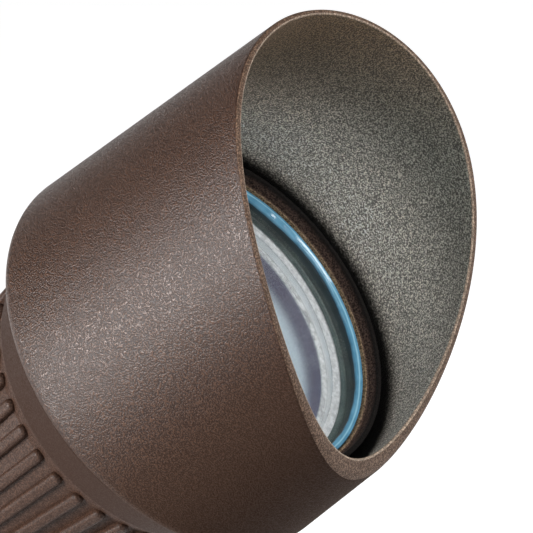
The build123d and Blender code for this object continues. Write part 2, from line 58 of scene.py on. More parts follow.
MM = 0.001
IMAGE_SIDE = 533

# The head's own axes: forward along the lamp, up towards the cowl's long lip, and aside towards the knob
FORWARD = Vector(joints["cowl_turn"]["axis"]).normalized()
ASIDE = Vector((0, -1, 0))
LONG_SIDE = ASIDE.cross(FORWARD)
COWL_BACK = Vector(joints["cowl_turn"]["pos_m"])

# Cowl, in mm, as in the CAD model
COWL_RADIUS = 33.0
COWL_BORE = 29.7
COWL_TAPER = radians(1.9)
COWL_DRAFT = radians(0.5)
COWL_LONG = 55.9
COWL_SIDE = 48.1
COWL_SHORT = 24.0
COWL_BACK_ROUND = 2.6
COWL_BORE_ROUND = 0.4

# Cowl's lip, in mm: its outer edge is rounder towards the short side
LIP_ROUND_LONG = 0.55
LIP_ROUND_SIDE = 0.4
LIP_ROUND_SHORT = 4.0
LIP_EDGE_ROUND = 0.25

# Points of the cowl's mesh: round the axis, along a wall, and round each corner of the section
COWL_STEPS = 540
WALL_STEPS = 24
BACK_STEPS = 10
BORE_STEPS = 4
LIP_STEPS = 12
LIP_FACE_STEPS = 4
LIP_EDGE_STEPS = 5
LIP_COATED_STEPS = 4     # of the lip's rounding, covered by the outside's coat
LIP_SEARCH_STEPS = 30

# Lens and lamp, in mm along and across the head's axis
LENS_RADIUS = 25.3
LENS_FRONT = 15.2
LENS_BACK = 12.6
LENS_EASE = 0.2
LENS_BORDER = 24.3       # inside of the dark edge, painted as shade, on the lens's back
LENS_STEPS = 240
LAMP_RADIUS = 24.75

# Silicone boot, in mm along and across the head's axis
BOOT_RADIUS = 26.3
BOOT_LIP = 25.0
BOOT_FRONT = 16.0
BOOT_BACK = 11.8
BOOT_BEAD = 0.6
BOOT_BORE = LAMP_RADIUS + 0.2
BOOT_GROOVE = LENS_BACK - 0.04
BOOT_STEPS = 720

# Bead of the boot: inner points as (out from the lip, up, share of the ripple), outer ones as (in, up)
BEAD_INNER = ((0, 0, 0), (0.05, 0.17, 0), (0.15, 0.29, 0), (0.34, 0.31, 1), (0.53, 0.36, 1), (0.74, 0.55, 0))
BEAD_OUTER = ((0.32, 0.56), (0.1, 0.4), (0, 0.14))

# Unevenness of the bead, as (depth, waves in a turn, shift), and the place where it is squeezed out
LIP_WAVES = ((0.05, 7, 0.4), (0.04, 17, 0.0), (0.03, 43, 1.0))
BEAD_RIPPLES = ((0.035, 23, 0.0), (0.03, 57, 2.0))
RIPPLE_REST = 0.15       # share of the ripples away from the bulge
BULGE_ANGLE = radians(290)
BULGE_SPAN = radians(38)
BULGE_REACH = 0.45

# Stem thread, in mm: 14 turns to the inch
STEM_RADIUS = 10.475
STEM_LENGTH = 16.0
STEM_CHAMFER = 1.0
THREAD_PITCH = 25.4 / 14
THREAD_DEPTH = 1.1
THREAD_RELIEF = 1.6
THREAD_START = 0.5
THREAD_FLAT = 0.15
THREAD_STEPS = 144
THREAD_ROWS = 160
THREAD_CREASE = radians(30)

# How closely the CAD model's points and faces are told apart, in mm
WELD_DIGITS = 4
SHOULDER_SLACK = 0.001
FLAT_SLACK = 0.01
SIDE_SLACK = 0.1


def to_head(radius, angle, along):
    """Point at a radius, an angle from the long lip and a distance before the cowl's back edge, from mm."""
    across = LONG_SIDE * cos(angle) + ASIDE * sin(angle)
    return COWL_BACK + (across * radius + FORWARD * along) * MM


# Mesh helpers
def new_piece(name, points, faces, materials, body, replaced):
    """Smooth mesh piece that rides on a body and stands for CAD nodes."""
    mesh = bpy.data.meshes.new(name)
    mesh.from_pydata(points, [], faces)
    mesh.validate()
    for material in materials:
        mesh.materials.append(material)
    for polygon in mesh.polygons:
        polygon.use_smooth = True
    piece = bpy.data.objects.new(name, mesh)
    bpy.context.scene.collection.objects.link(piece)
    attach(piece, body)
    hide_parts(*replaced)
    return piece


def turn(steps):
    """Angles of a full turn in equal steps."""
    return [2 * pi * step / steps for step in range(steps)]


def section_faces(sections, columns):
    """Quads between neighbouring sections, where both ways round are closed."""
    faces = []
    for section in range(sections):
        here = section * columns
        after = (section + 1) % sections * columns
        for column in range(columns):
            beside = (column + 1) % columns
            faces.append((here + column, here + beside, after + beside, after + column))
    return faces


def ring_faces(first, rings, steps):
    """Quads between neighbouring rings of points, from a first point on."""
    faces = []
    for ring in range(rings - 1):
        here = first + ring * steps
        after = here + steps
        for step in range(steps):
            beside = (step + 1) % steps
            faces.append((here + step, after + step, after + beside, here + beside))
    return faces


def corner_arc(corner, start, end, radius, steps):
    """Round off a corner between the ways to two points, as points from the first way to the second."""
    first = (start - corner).normalized()
    second = (end - corner).normalized()
    half = first.angle(second) / 2
    middle = corner + (first + second).normalized() * (radius / sin(half))
    reach = radius / tan(half)
    begin = corner + first * reach - middle
    finish = corner + second * reach - middle
    sweep = begin.angle_signed(finish)
    return [middle + Matrix.Rotation(-sweep * step / steps, 2) @ begin for step in range(steps + 1)]


def points_between(start, end, steps):
    """Points on the line between two points, without these two."""
    return [start.lerp(end, step / steps) for step in range(1, steps)]


# Node helpers
HeadPlace = namedtuple("HeadPlace", "along radius side")
Coat = namedtuple("Coat", "material tree shader place tone")


def new_material(name):
    """A material with its node tree and its Principled shader."""
    material = bpy.data.materials.new(name)
    material.use_nodes = True
    tree = material.node_tree
    return material, tree, tree.nodes["Principled BSDF"]


def add(tree, kind, **settings):
    """Add a node, with its properties and the values of its inputs by name."""
    node = tree.nodes.new(kind)
    for name, value in settings.items():
        if hasattr(node, name):
            setattr(node, name, value)
        else:
            node.inputs[name].default_value = value
    return node


def set_values(shader, **values):
    """Set inputs of a shader, named with underscores for spaces."""
    for name, value in values.items():
        shader.inputs[name.replace("_", " ")].default_value = value


def connect(tree, shader, **sources):
    """Link sockets to inputs of a shader, named with underscores for spaces."""
    for name, source in sources.items():
        tree.links.new(source, shader.inputs[name.replace("_", " ")])


def feed(tree, target, source):
    """Give an input a link, or a plain value or colour."""
    if isinstance(source, bpy.types.NodeSocket):
        tree.links.new(source, target)
    elif isinstance(source, tuple):
        target.default_value = (*source, 1.0)
    else:
        target.default_value = source


def mix(tree, factor, first, second, blend_type="MIX"):
    """Mix two colours, each a link or a plain colour."""
    node = tree.nodes.new("ShaderNodeMix")
    node.data_type = "RGBA"
    node.blend_type = blend_type
    sockets = [socket for socket in node.inputs if socket.enabled]
    for socket, source in zip(sockets, (factor, first, second)):
        feed(tree, socket, source)
    return next(socket for socket in node.outputs if socket.enabled)


def calculate(tree, operation, first, second):
    """One step of arithmetic."""
    node = add(tree, "ShaderNodeMath", operation=operation)
    feed(tree, node.inputs[0], first)
    feed(tree, node.inputs[1], second)
    return node.outputs["Value"]


def rise(tree, value, low, high, start=0.0, end=1.0):
    """Smooth step from a start to an end while a value goes between two limits."""
    node = add(tree, "ShaderNodeMapRange", interpolation_type="SMOOTHSTEP")
    sources = {"Value": value, "From Min": low, "From Max": high, "To Min": start, "To Max": end}
    for name, source in sources.items():
        feed(tree, node.inputs[name], source)
    return node.outputs["Result"]


def between(tree, value, low, high, soft):
    """Whether a value lies between two limits, with soft ends."""
    above = rise(tree, value, low - soft, low + soft)
    below = rise(tree, value, high - soft, high + soft, 1.0, 0.0)
    return calculate(tree, "MULTIPLY", above, below)


def stretch(tree, value, spread=0.2, start=0.0, end=1.0):
    """Smooth step of noise, whose values lie about a half, over a spread to each side."""
    return rise(tree, value, 0.5 - spread, 0.5 + spread, start, end)


def srgb(red, green, blue):
    """Linear colour from 8-bit values as seen on a screen."""
    def linear(value):
        share = value / 255
        return share / 12.92 if share <= 0.04045 else ((share + 0.055) / 1.055) ** 2.4
    return (linear(red), linear(green), linear(blue))


def shade(colour, share):
    """A colour made lighter or darker."""
    return tuple(value * share for value in colour)


def noise(tree, place, size, detail=2.0):
    """Noise with spots of about a size in mm."""
    node = add(tree, "ShaderNodeTexNoise", Scale=1 / (size * MM), Detail=detail, Roughness=0.5)
    tree.links.new(place, node.inputs["Vector"])
    return node.outputs["Fac"]


def object_place(tree):
    """Place on the piece, which stays with it when it moves."""
    return tree.nodes.new("ShaderNodeTexCoord").outputs["Object"]


def head_place(tree, place):
    """Distances before the cowl's back edge, from the head's axis and towards the long lip, in mm."""
    offset = add(tree, "ShaderNodeVectorMath", operation="SUBTRACT")
    tree.links.new(place, offset.inputs[0])
    offset.inputs[1].default_value = COWL_BACK
    along = add(tree, "ShaderNodeVectorMath", operation="DOT_PRODUCT")
    side = add(tree, "ShaderNodeVectorMath", operation="DOT_PRODUCT")
    across = add(tree, "ShaderNodeVectorMath", operation="CROSS_PRODUCT")
    radius = add(tree, "ShaderNodeVectorMath", operation="LENGTH")
    for node, direction in ((along, FORWARD), (side, LONG_SIDE), (across, FORWARD)):
        tree.links.new(offset.outputs[0], node.inputs[0])
        node.inputs[1].default_value = direction / MM
    tree.links.new(across.outputs[0], radius.inputs[0])
    return HeadPlace(along.outputs["Value"], radius.outputs["Value"], side.outputs["Value"])


def bump(tree, shader, height, depth):
    """Bump from a height, with its depth in mm."""
    node = add(tree, "ShaderNodeBump", Strength=1.0, Distance=depth * MM)
    tree.links.new(height, node.inputs["Height"])
    connect(tree, shader, Normal=node.outputs["Normal"])


def add_roughness(tree, shader, more):
    """Make a finish duller by a value that varies."""
    gloss = shader.inputs["Roughness"].links[0].from_socket
    connect(tree, shader, Roughness=calculate(tree, "ADD", gloss, more))


# Where the finishes change, in mm: along the head's axis, as a radius, or to the side where the long lip is
COLLAR_ALONG = (-14.0, 2.5)
COLLAR_RADIUS = (25.2, 25.7)
MOUTH_ALONG = (14.0, 15.0)
# Painted shade: where the bezel darkens towards its rim
MOUTH_SHADE_ALONG = (17.0, 18.2)
# Painted highlight on the ledge round the boot
LEDGE_ALONG = (15.0, 16.2)
LEDGE_RADIUS = (26.65, 26.75)
# Painted shadow: the inside of the cowl turns near-black behind the mouth, where the gap round the bezel lies in
# shade
SHADOW_BAND_ALONG = (17.2, 20.2)
SHADOW_EDGE_ROUGH = 0.5         # unevenness of the mask's edge
# Painted bounce light inside the cowl: grey near the lens, darker and browner towards the lip and the long lip
BOUNCE_FADE_ALONG = (24.0, 44.0)
BOUNCE_BROWN_UPPER = (42.0, 84.0)    # along plus side
# Painted shade on the inside's low side
INSIDE_SHADE_SIDE = (-26.0, 2.0)
UNDER_DULL_SIDE = (-26.0, -6.0)
UNDER_WEAK_SIDE = (-14.0, 4.0)
# Painted shade: where the grain under the cowl is evened out towards a slightly darker brown
UNDER_SHADE_SIDE = (-22.0, -2.0)
FROST_ALONG = (6.8, 9.2)
RIM_ALONG = (10.5, 10.8)
RIM_WALL_ALONG = (11.05, 12.25)
LENS_EDGE_ALONG = (13.2, 14.4)
# Painted highlight along the boot's bead
BOOT_HIGHLIGHT_RADIUS = (25.47, 25.63)
BOOT_DEEP_RADIUS = (26.0, 26.15)

# Values that the finishes share, with sizes and depths in mm
WHITE = (1.0, 1.0, 1.0)
FINE_BUMP = 0.004
ROUGHNESS_DRIFT = 0.15
COAT_GLOSS = 0.38
CAST_GLOSS = 0.25
UNDER_GLOSS = 0.13       # under the cowl, where the pale floor would show too much
SMOOTH_DULLER = 0.3      # added roughness where a coat is smooth
PEAK_POWER = 2.0         # keeps the light grains few
DRIFT_SIZE = 14.0
DRIFT_SHARE = 0.12


# Finishes
def coat(name, dark, light, grain, depth, dull, bright, smooth=None):
    """Powder coat with a fine grain whose tops are lighter and glossier, left out where it is smooth."""
    material, tree, shader = new_material(name)
    place = object_place(tree)
    height = stretch(tree, noise(tree, place, grain, detail=1.0), spread=0.22)
    gloss = rise(tree, height, 0.0, 1.0, dull, bright)
    if smooth:
        even = smooth(tree, place)
        height = calculate(tree, "MULTIPLY", height, calculate(tree, "SUBTRACT", 1.0, even))
        gloss = calculate(tree, "ADD", gloss, calculate(tree, "MULTIPLY", even, SMOOTH_DULLER))
    peaks = calculate(tree, "POWER", height, PEAK_POWER)
    tone = mix(tree, peaks, dark, light)
    drift = stretch(tree, noise(tree, place, DRIFT_SIZE), end=DRIFT_SHARE)
    tone = mix(tree, drift, tone, dark)
    connect(tree, shader, Base_Color=tone, Roughness=gloss)
    bump(tree, shader, height, depth)
    set_values(shader, Specular_IOR_Level=COAT_GLOSS)
    return Coat(material, tree, shader, place, tone)


def plain(name, dark, light, size, roughness, metallic=0.0):
    """Even finish with a slight drift of colour and gloss."""
    material, tree, shader = new_material(name)
    drift = noise(tree, object_place(tree), size, detail=4.0)
    tone = mix(tree, stretch(tree, drift, spread=0.15), dark, light)
    change = roughness * ROUGHNESS_DRIFT
    gloss = stretch(tree, drift, start=roughness - change, end=roughness + change)
    connect(tree, shader, Base_Color=tone, Roughness=gloss)
    set_values(shader, Metallic=metallic)
    bump(tree, shader, drift, FINE_BUMP)
    return material


def glass(name, tint, filmed):
    """Thin clear glass with a faint film: it shows what is behind it in its place, under a gloss."""
    material, tree, shader = new_material(name)
    film = noise(tree, object_place(tree), size=11.0, detail=3.0)
    connect(tree, shader, Base_Color=mix(tree, stretch(tree, film), tint, filmed))
    set_values(shader, Roughness=0.0, IOR=1.02, Transmission_Weight=1.0)
    set_values(shader, Coat_Weight=1.0, Coat_Roughness=0.008, Coat_IOR=1.5)
    clear = add(tree, "ShaderNodeBsdfTransparent", Color=(*tint, 1.0))
    path = tree.nodes.new("ShaderNodeLightPath")
    either = calculate(tree, "MAXIMUM", path.outputs["Is Shadow Ray"], path.outputs["Is Diffuse Ray"])
    blend = tree.nodes.new("ShaderNodeMixShader")
    for socket, source in zip(blend.inputs, (either, shader.outputs[0], clear.outputs[0])):
        tree.links.new(source, socket)
    tree.links.new(blend.outputs[0], tree.nodes["Material Output"].inputs["Surface"])
    return material


def make_cowl_outside():
    """Outside of the cowl: grainy bronze, duller underneath, where its grain is also evened out towards a slightly
    darker brown as painted shade.
    """
    material, tree, shader, place, tone = coat(
        "bronze_textured", dark=srgb(34, 17, 8), light=srgb(87, 63, 50),
        grain=0.26, depth=0.06, dull=0.47, bright=0.27,
    )
    side = head_place(tree, place).side
    add_roughness(tree, shader, rise(tree, side, *UNDER_DULL_SIDE, start=0.45, end=0.0))
    gloss = rise(tree, side, *UNDER_WEAK_SIDE, start=UNDER_GLOSS, end=COAT_GLOSS)
    # painted shade underneath: the grain evened out towards a slightly darker brown
    painted_shade_calm = rise(tree, side, *UNDER_SHADE_SIDE, start=0.75, end=0.0)
    tone = mix(tree, painted_shade_calm, tone, srgb(53, 35, 24))
    connect(tree, shader, Specular_IOR_Level=gloss, Base_Color=tone)
    return material


def make_cowl_inside():
    """Inside of the cowl: grey with painted bounce light from the lens, darker and browner towards the lip and the
    long lip, with painted shade on its low side and a painted black shadow behind the mouth.
    """
    # the grey and its light grains carry painted bounce light from the lens and lamp
    grey = srgb(198, 192, 181)
    material, tree, shader, place, tone = coat(
        "cowl_inside", dark=shade(grey, 0.38), light=shade(grey, 2.36),
        grain=0.25, depth=0.09, dull=0.52, bright=0.3,
    )
    head = head_place(tree, place)
    upper = calculate(tree, "ADD", head.along, head.side)
    # painted bounce light: it fades and browns away from the lens
    painted_bounce_fade = mix(tree, rise(tree, head.along, *BOUNCE_FADE_ALONG), WHITE, (0.34, 0.36, 0.345))
    painted_bounce_brown = mix(tree, rise(tree, upper, *BOUNCE_BROWN_UPPER), WHITE, (0.95, 0.62, 0.4))
    # painted shade: darker on the inside's low side
    painted_low_shade = mix(tree, rise(tree, head.side, *INSIDE_SHADE_SIDE), shade(WHITE, 0.7), WHITE)
    for change in (painted_bounce_fade, painted_bounce_brown, painted_low_shade):
        tone = mix(tree, 1.0, tone, change, "MULTIPLY")
    rough = stretch(tree, noise(tree, place, size=0.4), spread=0.3, start=-SHADOW_EDGE_ROUGH, end=SHADOW_EDGE_ROUGH)
    edge = calculate(tree, "ADD", head.along, rough)
    # painted shadow behind the mouth, near-black with an uneven edge
    tone = mix(tree, rise(tree, edge, *SHADOW_BAND_ALONG), srgb(14, 13, 12), tone)
    tone.node.clamp_result = True
    connect(tree, shader, Base_Color=tone)
    return material


def collar_smooth(tree, place):
    """Where the housing is smooth: on its flared collar, outside the ribs."""
    head = head_place(tree, place)
    collar = between(tree, head.along, *COLLAR_ALONG, soft=0.5)
    return calculate(tree, "MULTIPLY", collar, rise(tree, head.radius, *COLLAR_RADIUS))


def make_housing_coat():
    """Housing: grainy ribs, a smooth collar, a browner mouth with painted shade towards its rim, and a painted
    golden highlight on the ledge round the lens's boot.
    """
    material, tree, shader, place, tone = coat(
        "bronze", dark=srgb(44, 26, 16), light=srgb(80, 57, 45),
        grain=0.27, depth=0.035, dull=0.65, bright=0.34, smooth=collar_smooth,
    )
    head = head_place(tree, place)
    speckle = stretch(tree, noise(tree, place, size=0.3), spread=0.15)
    mouth = mix(tree, speckle, srgb(34, 25, 21), srgb(90, 71, 62))
    # painted shade: near-black towards the bezel's rim
    mouth = mix(tree, rise(tree, head.along, *MOUTH_SHADE_ALONG), mouth, srgb(15, 11, 9))
    tone = mix(tree, rise(tree, head.along, *MOUTH_ALONG), tone, mouth)
    # painted highlight: the ledge round the boot is light golden brown
    painted_ledge_highlight = mix(tree, speckle, srgb(92, 74, 54), srgb(178, 154, 122))
    inside = rise(tree, head.radius, *LEDGE_RADIUS, start=1.0, end=0.0)
    ledge = calculate(tree, "MULTIPLY", between(tree, head.along, *LEDGE_ALONG, soft=0.15), inside)
    connect(tree, shader, Base_Color=mix(tree, ledge, tone, painted_ledge_highlight))
    add_roughness(tree, shader, rise(tree, head.along, *MOUTH_ALONG, start=0.0, end=0.5))
    set_values(shader, Specular_IOR_Level=CAST_GLOSS)
    return material


def make_lamp_mirror():
    """Lamp reflector: a silvered rim in front, a violet mirror film in the bowl, and frost deep in it."""
    material, tree, shader = new_material("lamp_mirror")
    place = object_place(tree)
    along = head_place(tree, place).along
    haze = noise(tree, place, size=0.7, detail=4.0)
    cloud = stretch(tree, noise(tree, place, size=6.0))
    bowl = mix(tree, cloud, srgb(126, 117, 140), srgb(158, 151, 169))
    deep = rise(tree, along, *FROST_ALONG, start=1.0, end=0.0)
    bowl = mix(tree, deep, bowl, srgb(208, 222, 231))
    rim = mix(tree, stretch(tree, haze), srgb(186, 189, 191), srgb(224, 226, 228))
    rim = mix(tree, between(tree, along, *RIM_WALL_ALONG, soft=0.1), rim, srgb(250, 251, 252))
    front = rise(tree, along, *RIM_ALONG)
    frosted = calculate(tree, "MAXIMUM", deep, front)
    connect(
        tree, shader, Base_Color=mix(tree, front, bowl, rim),
        Roughness=rise(tree, frosted, 0.0, 1.0, start=0.28, end=0.45),
        Metallic=rise(tree, frosted, 0.0, 1.0, start=0.9, end=0.1),
    )
    bump(tree, shader, haze, depth=0.02)
    return material


def make_silicone():
    """Silicone: pale blue, with a paler line along the boot's bead as a painted highlight, and a deeper blue at
    its outer edge.
    """
    material, tree, shader = new_material("silicone")
    place = object_place(tree)
    radius = head_place(tree, place).radius
    drift = noise(tree, place, size=2.0, detail=4.0)
    tone = mix(tree, stretch(tree, drift, spread=0.15), srgb(80, 134, 162), srgb(96, 150, 178))
    # painted highlight: a paler line along the bead
    tone = mix(tree, between(tree, radius, *BOOT_HIGHLIGHT_RADIUS, soft=0.1), tone, srgb(146, 194, 214))
    tone = mix(tree, rise(tree, radius, *BOOT_DEEP_RADIUS), tone, srgb(44, 88, 112))
    connect(tree, shader, Base_Color=tone, Roughness=stretch(tree, drift, start=0.08, end=0.1))
    bump(tree, shader, drift, FINE_BUMP)
    return material


def make_lens_edge():
    """Edge of the lens, painted as shade: dark teal in front and greyer behind, as the boot looks in shade behind
    the glass.
    """
    material, tree, shader = new_material("lens_edge_shade")
    place = object_place(tree)
    along = head_place(tree, place).along
    haze = noise(tree, place, size=3.0, detail=3.0)
    front = mix(tree, stretch(tree, haze), srgb(22, 37, 41), srgb(40, 58, 64))
    back = mix(tree, stretch(tree, haze), srgb(56, 70, 70), srgb(78, 92, 90))
    tone = mix(tree, rise(tree, along, *LENS_EDGE_ALONG), back, front)
    connect(tree, shader, Base_Color=tone, Roughness=stretch(tree, haze, start=0.55, end=0.7))
    return material


bronze_textured = make_cowl_outside()
# Painted highlights: the cowl lip's cut face and the round of its inner edge are coloured lighter than its outside
bronze_lip_highlight = coat(
    "bronze_lip_highlight", dark=srgb(70, 52, 40), light=srgb(136, 108, 88),
    grain=0.27, depth=0.07, dull=0.85, bright=0.6,
).material
bronze_rim_highlight = coat(
    "bronze_rim_highlight", dark=srgb(120, 105, 91), light=srgb(201, 177, 155),
    grain=0.3, depth=0.03, dull=0.7, bright=0.55,
).material
cowl_inside = make_cowl_inside()
bronze = make_housing_coat()
clear_glass = glass("clear_glass", tint=(0.99, 0.995, 0.995), filmed=(0.975, 0.983, 0.983))
lens_edge_shade = make_lens_edge()
silicone = make_silicone()
slot_materials = {
    "bronze_textured": bronze_textured,
    "bronze": bronze,
    "clear_glass": clear_glass,
    "lamp_mirror": make_lamp_mirror(),
    "silicone": silicone,
    "black_rubber": plain("black_rubber", srgb(22, 22, 22), srgb(34, 34, 34), size=2.0, roughness=0.6),
    "black_nylon": plain("black_nylon", srgb(26, 26, 27), srgb(38, 38, 39), size=2.0, roughness=0.5),
    "white_ceramic": plain(
        "white_ceramic", srgb(214, 208, 196), srgb(232, 228, 218), size=3.0, roughness=0.55
    ),
    "bright_steel": plain(
        "bright_steel", srgb(160, 160, 162), srgb(190, 190, 192), size=1.1, roughness=0.32, metallic=1.0
    ),
    "brass": plain("brass", srgb(190, 150, 80), srgb(214, 176, 104), size=1.1, roughness=0.3, metallic=1.0),
}
for subpart in frame["record"]["subparts"]:
    mesh = nodes[subpart["node"]].data
    mesh.materials.clear()
    mesh.materials.append(slot_materials[subpart["material_slot"]])


# Cowl
def lip_circle():
    """Centre and radius of the arc that cuts the cowl's front, across the long side and along the axis."""
    reach = COWL_BORE + COWL_LONG * tan(COWL_DRAFT)
    low, middle, high = (-reach, COWL_SHORT), (0.0, COWL_SIDE), (reach, COWL_LONG)
    chords = Matrix((
        (2 * (middle[0] - low[0]), 2 * (middle[1] - low[1])),
        (2 * (high[0] - low[0]), 2 * (high[1] - low[1])),
    ))
    size = [point[0] ** 2 + point[1] ** 2 for point in (low, middle, high)]
    centre = chords.inverted() @ Vector((size[1] - size[0], size[2] - size[0]))
    return centre, (Vector(middle) - centre).length


LIP_CENTRE, LIP_ARC = lip_circle()


def lip_corner(angle, start, slope):
    """Where a wall, given by its radius at the back and its slope, meets the lip's arc."""
    along = COWL_SIDE
    for _ in range(LIP_SEARCH_STEPS):
        radius = start + along * slope
        side = radius * cos(angle) - LIP_CENTRE.x
        along = LIP_CENTRE.y + sqrt(LIP_ARC ** 2 - side ** 2)
    return Vector((radius, along))


def lip_round(angle):
    """Radius of the lip's outer edge, small on the long side and large on the short side."""
    side = cos(angle)
    if side > 0:
        return LIP_ROUND_SIDE + (LIP_ROUND_LONG - LIP_ROUND_SIDE) * side
    return LIP_ROUND_SIDE + (LIP_ROUND_SHORT - LIP_ROUND_SIDE) * side ** 2


def cowl_section(angle):
    """Closed outline of the cowl's wall, as (radius, along), with the places where its materials change."""
    outer = lip_corner(angle, COWL_RADIUS, -tan(COWL_TAPER))
    inner = lip_corner(angle, COWL_BORE, tan(COWL_DRAFT))
    outer_foot = Vector((COWL_RADIUS, 0.0))
    inner_foot = Vector((COWL_BORE, 0.0))
    back = corner_arc(outer_foot, inner_foot, outer, COWL_BACK_ROUND, BACK_STEPS)
    lip = corner_arc(outer, outer_foot, inner, lip_round(angle), LIP_STEPS)
    edge = corner_arc(inner, outer, inner_foot, LIP_EDGE_ROUND, LIP_EDGE_STEPS)
    bore = corner_arc(inner_foot, inner, outer_foot, COWL_BORE_ROUND, BORE_STEPS)
    outside = back + points_between(back[-1], lip[0], WALL_STEPS)
    cut = lip + points_between(lip[-1], edge[0], LIP_FACE_STEPS)
    inside = points_between(edge[-1], bore[0], WALL_STEPS) + bore
    starts = (len(outside) + LIP_COATED_STEPS, len(outside + cut), len(outside + cut + edge) - 1)
    return outside + cut + edge + inside, starts


def make_cowl():
    """Cowl with its lip rounded more towards the short side."""
    points = []
    for angle in turn(COWL_STEPS):
        section, starts = cowl_section(angle)
        points += [to_head(point.x, angle, point.y) for point in section]
    columns = len(section)
    # the lip's cut face and inner edge take the painted highlight finishes
    cowl = new_piece(
        "cowl_shell", points, section_faces(COWL_STEPS, columns),
        (bronze_textured, bronze_lip_highlight, bronze_rim_highlight, cowl_inside), "cowl", ("cowl",),
    )
    for polygon in cowl.data.polygons:
        column = polygon.index % columns
        polygon.material_index = sum(column >= start for start in starts)


make_cowl()


# Lens and its boot
def make_lens():
    """Lens with a clear front and back, and a dark edge, painted as shade, that reaches a little way over its
    back.
    """
    profile = [
        (LENS_RADIUS - LENS_EASE, LENS_FRONT), (LENS_RADIUS, LENS_FRONT - LENS_EASE),
        (LENS_RADIUS, LENS_BACK + LENS_EASE), (LENS_RADIUS - LENS_EASE, LENS_BACK), (LENS_BORDER, LENS_BACK),
    ]
    points = []
    for radius, along in profile:
        points += [to_head(radius, angle, along) for angle in turn(LENS_STEPS)]
    front = tuple(range(LENS_STEPS))
    back = tuple(reversed(range(len(points) - LENS_STEPS, len(points))))
    faces = [front, *ring_faces(0, len(profile), LENS_STEPS), back]
    lens = new_piece("lens_pane", points, faces, (clear_glass, lens_edge_shade), "head", ("lens",))
    for polygon in lens.data.polygons:
        polygon.material_index = int(len(polygon.vertices) == 4)
        polygon.use_smooth = False


def boot_bulge(angle):
    """How far the boot's lip is squeezed out over the lens at an angle."""
    beside = angle - BULGE_ANGLE
    if abs(beside) > BULGE_SPAN / 2:
        return 0.0
    return BULGE_REACH * cos(beside * pi / BULGE_SPAN)


def waves(angle, terms):
    """Sum of sine waves round the axis, each as (depth, waves in a turn, shift)."""
    return sum(depth * sin(count * angle + shift) for depth, count, shift in terms)


def make_boot():
    """Silicone boot with a round front bead, which is pressed on unevenly and squeezed out on one side."""
    foot = BOOT_FRONT - BOOT_BEAD
    points = []
    for angle in turn(BOOT_STEPS):
        bulge = boot_bulge(angle)
        lip = BOOT_LIP + waves(angle, LIP_WAVES) - bulge
        ripple = (RIPPLE_REST + bulge / BULGE_REACH) * waves(angle, BEAD_RIPPLES)
        inner = [(lip + out, foot + up + ripple * share) for out, up, share in BEAD_INNER]
        outer = [(BOOT_RADIUS - inward, foot + up) for inward, up in BEAD_OUTER]
        profile = [(lip, LENS_FRONT)] + inner + outer + [
            (BOOT_RADIUS, BOOT_BACK), (BOOT_BORE, BOOT_BACK), (BOOT_BORE, BOOT_GROOVE),
            (LENS_RADIUS, BOOT_GROOVE), (LENS_RADIUS, LENS_FRONT),
        ]
        points += [to_head(radius, angle, along) for radius, along in profile]
    faces = section_faces(BOOT_STEPS, len(profile))
    new_piece("boot", points, faces, (silicone,), "head", ("lens_boot",))


make_lens()
make_boot()


# Stem of the knuckle, with its thread
def thread_radius(angle, height):
    """Radius of the stem, with a relief under the shoulder, a right-hand thread and a chamfer at its end."""
    wave = 1 - abs(2 * ((height / THREAD_PITCH - angle / (2 * pi)) % 1) - 1)
    crest = min(1.0, max(0.0, (wave - THREAD_FLAT) / (1 - 2 * THREAD_FLAT)))
    start = min(1.0, max(0.0, (-height - THREAD_RELIEF) / THREAD_START))
    radius = STEM_RADIUS - THREAD_DEPTH * (1 - crest * start)
    return min(radius, STEM_RADIUS - STEM_CHAMFER + height + STEM_LENGTH)


def is_stem_side(corners):
    """Whether a face is on the outside of the stem, given its corners in mm."""
    heights = [corner.z for corner in corners]
    narrowest = min(hypot(corner.x, corner.y) for corner in corners)
    upright = max(heights) - min(heights) > FLAT_SLACK
    under_shoulder = max(heights) < SHOULDER_SLACK
    return upright and under_shoulder and narrowest > STEM_RADIUS - STEM_CHAMFER - SIDE_SLACK


def knuckle_without_side(node):
    """Points and faces of the lower knuckle, welded, without the outside of its stem."""
    corners = [node.matrix_world @ vertex.co / MM for vertex in node.data.vertices]
    keys = [tuple(round(value, WELD_DIGITS) for value in corner) for corner in corners]
    numbers = {}
    points = []
    faces = []
    for polygon in node.data.polygons:
        if is_stem_side([corners[number] for number in polygon.vertices]):
            continue
        for number in polygon.vertices:
            if keys[number] not in numbers:
                numbers[keys[number]] = len(points)
                points.append(corners[number] * MM)
        faces.append(tuple(numbers[keys[number]] for number in polygon.vertices))
    return points, faces


def stem_radius(row, angle, height):
    """Radius of the stem at a row of points, of which the first and the last meet the CAD model's faces."""
    if row < 0:
        return STEM_RADIUS
    if row > THREAD_ROWS:
        return STEM_RADIUS - STEM_CHAMFER
    return thread_radius(angle, height)


def make_stem():
    """Lower knuckle with the outside of its stem cut as a thread."""
    points, faces = knuckle_without_side(nodes["lower_knuckle"])
    kept = len(points)
    rows = range(-1, THREAD_ROWS + 2)
    for row in rows:
        height = -STEM_LENGTH * min(THREAD_ROWS, max(0, row)) / THREAD_ROWS
        for angle in turn(THREAD_STEPS):
            radius = stem_radius(row, angle, height)
            points.append(Vector((radius * cos(angle), radius * sin(angle), height)) * MM)
    faces += ring_faces(kept, len(rows), THREAD_STEPS)
    knuckle = new_piece(
        "threaded_knuckle", points, faces, (bronze,), "base", ("lower_knuckle",)
    )
    knuckle.data.set_sharp_from_angle(angle=THREAD_CREASE)
    for edge in knuckle.data.edges:
        if min(edge.vertices) >= kept + THREAD_STEPS and max(edge.vertices) < len(points) - THREAD_STEPS:
            edge.use_edge_sharp = False


make_stem()

